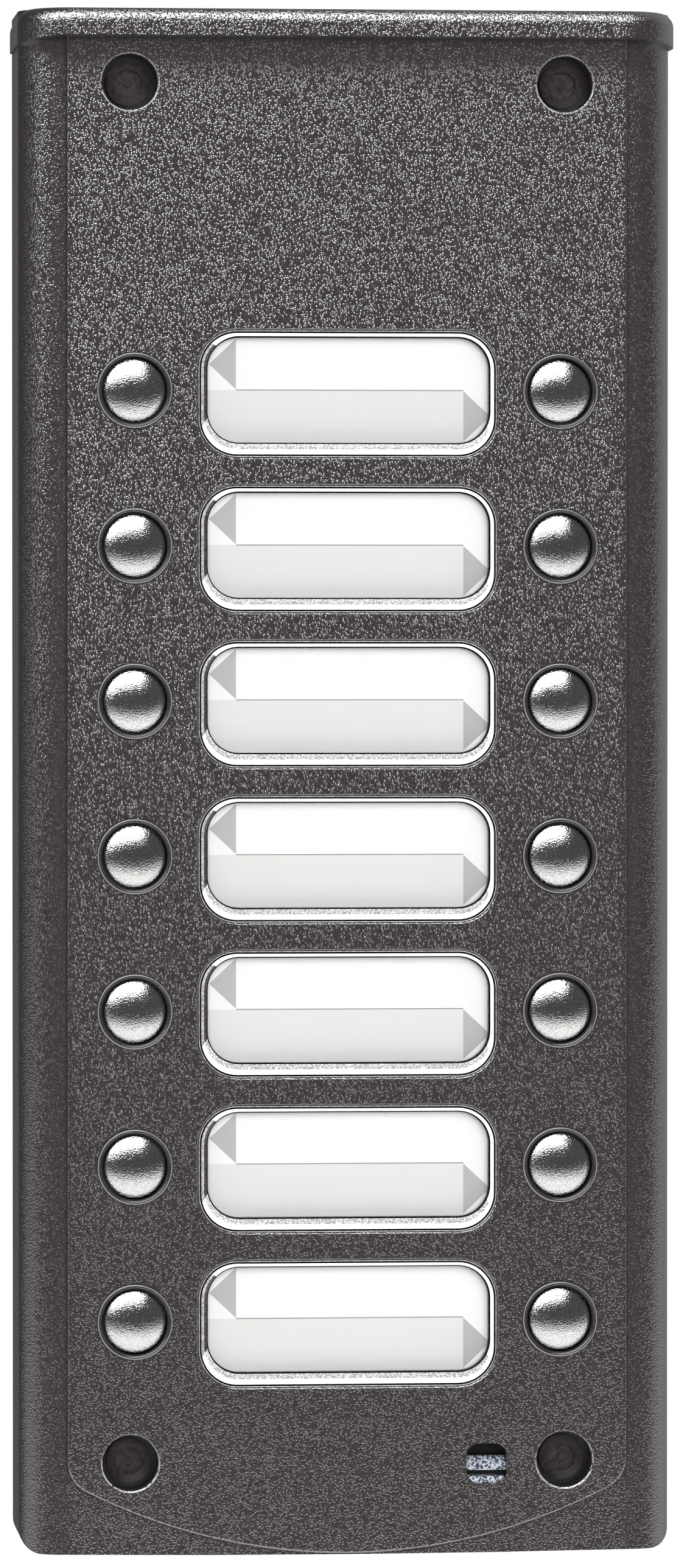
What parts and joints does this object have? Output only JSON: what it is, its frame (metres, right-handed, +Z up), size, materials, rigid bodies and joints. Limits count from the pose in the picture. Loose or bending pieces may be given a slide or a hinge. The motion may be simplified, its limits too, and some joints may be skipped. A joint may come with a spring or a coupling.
{
  "type": "door intercom panel",
  "caption": "Wall-mounted door intercom call panel with a cast cover, rain hood, two columns of sprung push buttons and lit name windows.",
  "frame": {"origin": "middle of the back box's flat wall face", "axes": "+X right seen from the front, +Y into the wall, +Z up; the buttons face -Y"},
  "size_m": [0.1006, 0.033, 0.2356],
  "materials": {
    "hammered_paint": "dark warm grey textured powder coat",
    "box_plastic": "fine matt moulded",
    "seal_rubber": "matt",
    "dark_screw": "blackened",
    "bezel_metal": "smooth satin dark grey",
    "button_metal": "satin nickel",
    "spring_steel": "bright wire",
    "switch_plastic": "matt",
    "window_clear": "clear polycarbonate, polished bevel",
    "card_paper": "printed card",
    "opal_plastic": "opal",
    "carrier_plastic": "white moulded",
    "zinc_screw": "zinc plated",
    "board_laminate": "solder resist",
    "led_lens": "clear resin",
    "terminal_plastic": "moulded",
    "insert_metal": "cast, bead blasted"
  },
  "bodies": {
    "panel": {"back_box": "box_plastic", "backlight_leds": "led_lens", "board_screws": "zinc_screw", "button_bezels": "bezel_metal", "cable_grommet": "seal_rubber", "carrier_screws": "zinc_screw", "circuit_board": "board_laminate", "cover_gasket": "seal_rubber", "cover_screws": "dark_screw", "front_cover": "hammered_paint", "label_carrier": "carrier_plastic", "light_diffuser": "opal_plastic", "name_card_1": "card_paper", "name_card_2": "card_paper", "name_card_3": "card_paper", "name_card_4": "card_paper", "name_card_5": "card_paper", "name_card_6": "card_paper", "name_card_7": "card_paper", "name_window_1": "window_clear", "name_window_2": "window_clear", "name_window_3": "window_clear", "name_window_4": "window_clear", "name_window_5": "window_clear", "name_window_6": "window_clear", "name_window_7": "window_clear", "port_insert": "insert_metal", "return_spring_left_1": "spring_steel", "return_spring_left_2": "spring_steel", "return_spring_left_3": "spring_steel", "return_spring_left_4": "spring_steel", "return_spring_left_5": "spring_steel", "return_spring_left_6": "spring_steel", "return_spring_left_7": "spring_steel", "return_spring_right_1": "spring_steel", "return_spring_right_2": "spring_steel", "return_spring_right_3": "spring_steel", "return_spring_right_4": "spring_steel", "return_spring_right_5": "spring_steel", "return_spring_right_6": "spring_steel", "return_spring_right_7": "spring_steel", "switch_housings": "switch_plastic", "terminal_block_left": "terminal_plastic", "terminal_block_right": "terminal_plastic", "terminal_screws": "zinc_screw"},
    "button_left_1": {"call_button_left_1": "button_metal"},
    "button_left_2": {"call_button_left_2": "button_metal"},
    "button_left_3": {"call_button_left_3": "button_metal"},
    "button_left_4": {"call_button_left_4": "button_metal"},
    "button_left_5": {"call_button_left_5": "button_metal"},
    "button_left_6": {"call_button_left_6": "button_metal"},
    "button_left_7": {"call_button_left_7": "button_metal"},
    "button_right_1": {"call_button_right_1": "button_metal"},
    "button_right_2": {"call_button_right_2": "button_metal"},
    "button_right_3": {"call_button_right_3": "button_metal"},
    "button_right_4": {"call_button_right_4": "button_metal"},
    "button_right_5": {"call_button_right_5": "button_metal"},
    "button_right_6": {"call_button_right_6": "button_metal"},
    "button_right_7": {"call_button_right_7": "button_metal"}
  },
  "joints": [
    {"name": "press_left_1", "type": "slide", "parent": "panel", "child": "button_left_1", "axis": [0, 1, 0], "range_m": [0, 0.0015], "stiffness_N_per_m": 900, "springref_m": -0.001, "deforming": ["return_spring_left_1"]},
    {"name": "press_left_2", "type": "slide", "parent": "panel", "child": "button_left_2", "axis": [0, 1, 0], "range_m": [0, 0.0015], "stiffness_N_per_m": 900, "springref_m": -0.001, "deforming": ["return_spring_left_2"]},
    {"name": "press_left_3", "type": "slide", "parent": "panel", "child": "button_left_3", "axis": [0, 1, 0], "range_m": [0, 0.0015], "stiffness_N_per_m": 900, "springref_m": -0.001, "deforming": ["return_spring_left_3"]},
    {"name": "press_left_4", "type": "slide", "parent": "panel", "child": "button_left_4", "axis": [0, 1, 0], "range_m": [0, 0.0015], "stiffness_N_per_m": 900, "springref_m": -0.001, "deforming": ["return_spring_left_4"]},
    {"name": "press_left_5", "type": "slide", "parent": "panel", "child": "button_left_5", "axis": [0, 1, 0], "range_m": [0, 0.0015], "stiffness_N_per_m": 900, "springref_m": -0.001, "deforming": ["return_spring_left_5"]},
    {"name": "press_left_6", "type": "slide", "parent": "panel", "child": "button_left_6", "axis": [0, 1, 0], "range_m": [0, 0.0015], "stiffness_N_per_m": 900, "springref_m": -0.001, "deforming": ["return_spring_left_6"]},
    {"name": "press_left_7", "type": "slide", "parent": "panel", "child": "button_left_7", "axis": [0, 1, 0], "range_m": [0, 0.0015], "stiffness_N_per_m": 900, "springref_m": -0.001, "deforming": ["return_spring_left_7"]},
    {"name": "press_right_1", "type": "slide", "parent": "panel", "child": "button_right_1", "axis": [0, 1, 0], "range_m": [0, 0.0015], "stiffness_N_per_m": 900, "springref_m": -0.001, "deforming": ["return_spring_right_1"]},
    {"name": "press_right_2", "type": "slide", "parent": "panel", "child": "button_right_2", "axis": [0, 1, 0], "range_m": [0, 0.0015], "stiffness_N_per_m": 900, "springref_m": -0.001, "deforming": ["return_spring_right_2"]},
    {"name": "press_right_3", "type": "slide", "parent": "panel", "child": "button_right_3", "axis": [0, 1, 0], "range_m": [0, 0.0015], "stiffness_N_per_m": 900, "springref_m": -0.001, "deforming": ["return_spring_right_3"]},
    {"name": "press_right_4", "type": "slide", "parent": "panel", "child": "button_right_4", "axis": [0, 1, 0], "range_m": [0, 0.0015], "stiffness_N_per_m": 900, "springref_m": -0.001, "deforming": ["return_spring_right_4"]},
    {"name": "press_right_5", "type": "slide", "parent": "panel", "child": "button_right_5", "axis": [0, 1, 0], "range_m": [0, 0.0015], "stiffness_N_per_m": 900, "springref_m": -0.001, "deforming": ["return_spring_right_5"]},
    {"name": "press_right_6", "type": "slide", "parent": "panel", "child": "button_right_6", "axis": [0, 1, 0], "range_m": [0, 0.0015], "stiffness_N_per_m": 900, "springref_m": -0.001, "deforming": ["return_spring_right_6"]},
    {"name": "press_right_7", "type": "slide", "parent": "panel", "child": "button_right_7", "axis": [0, 1, 0], "range_m": [0, 0.0015], "stiffness_N_per_m": 900, "springref_m": -0.001, "deforming": ["return_spring_right_7"]}
  ]
}
